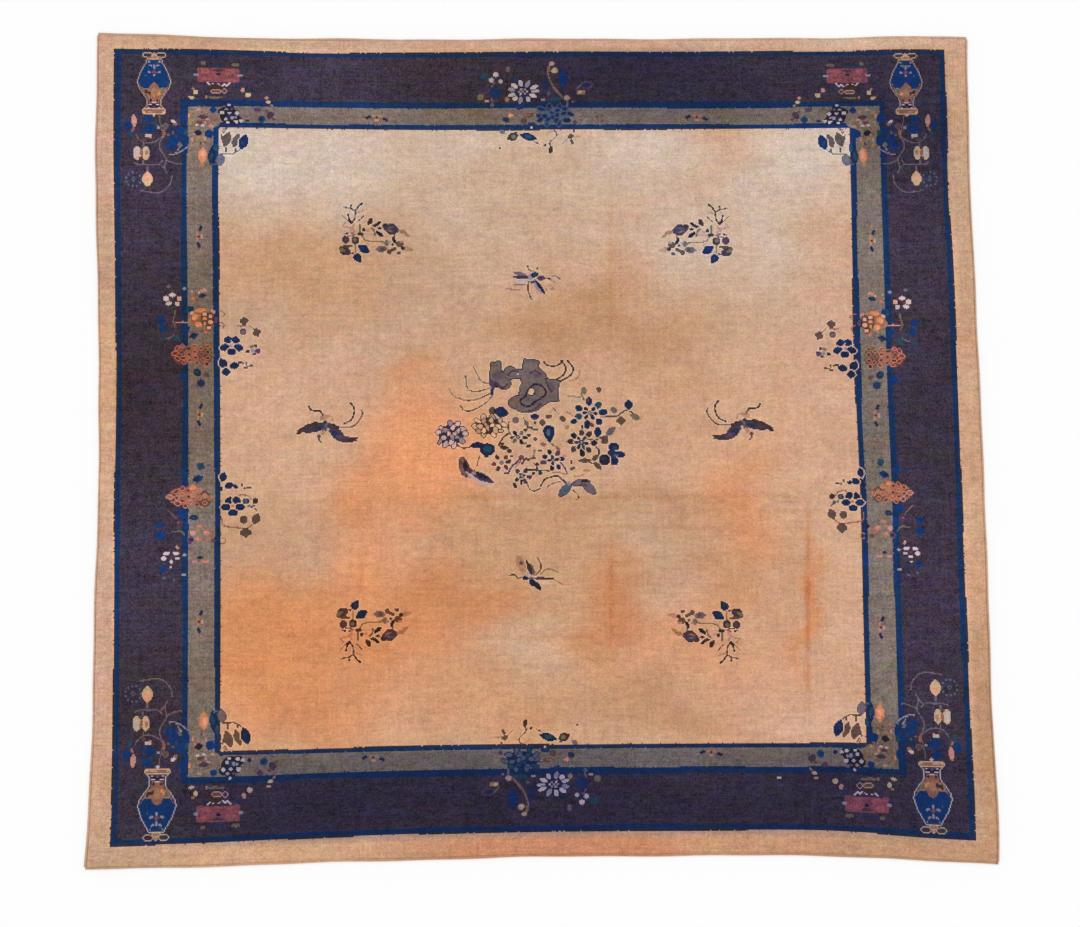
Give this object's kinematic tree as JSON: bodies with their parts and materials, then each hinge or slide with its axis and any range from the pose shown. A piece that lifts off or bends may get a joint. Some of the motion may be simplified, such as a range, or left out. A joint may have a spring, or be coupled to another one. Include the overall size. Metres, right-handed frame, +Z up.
{
  "type": "chinese rug",
  "caption": "Near-square flat wool pile rug with a dark border, corner vases, flower sprays and a rock with peonies; lies on a floor.",
  "frame": {"origin": "centre of the rug's bounding box, at its underside on the floor", "axes": "+X across the rug to the right of the design, +Y to the head of the design, +Z up out of the pile"},
  "size_m": [2.6976, 2.5118, 0.009],
  "materials": {
    "wool_pile": "matt cut wool pile, worn, in tan, aubergine, blue and grey-green"
  },
  "bodies": {
    "root": {"rug": "wool_pile"}
  },
  "joints": []
}
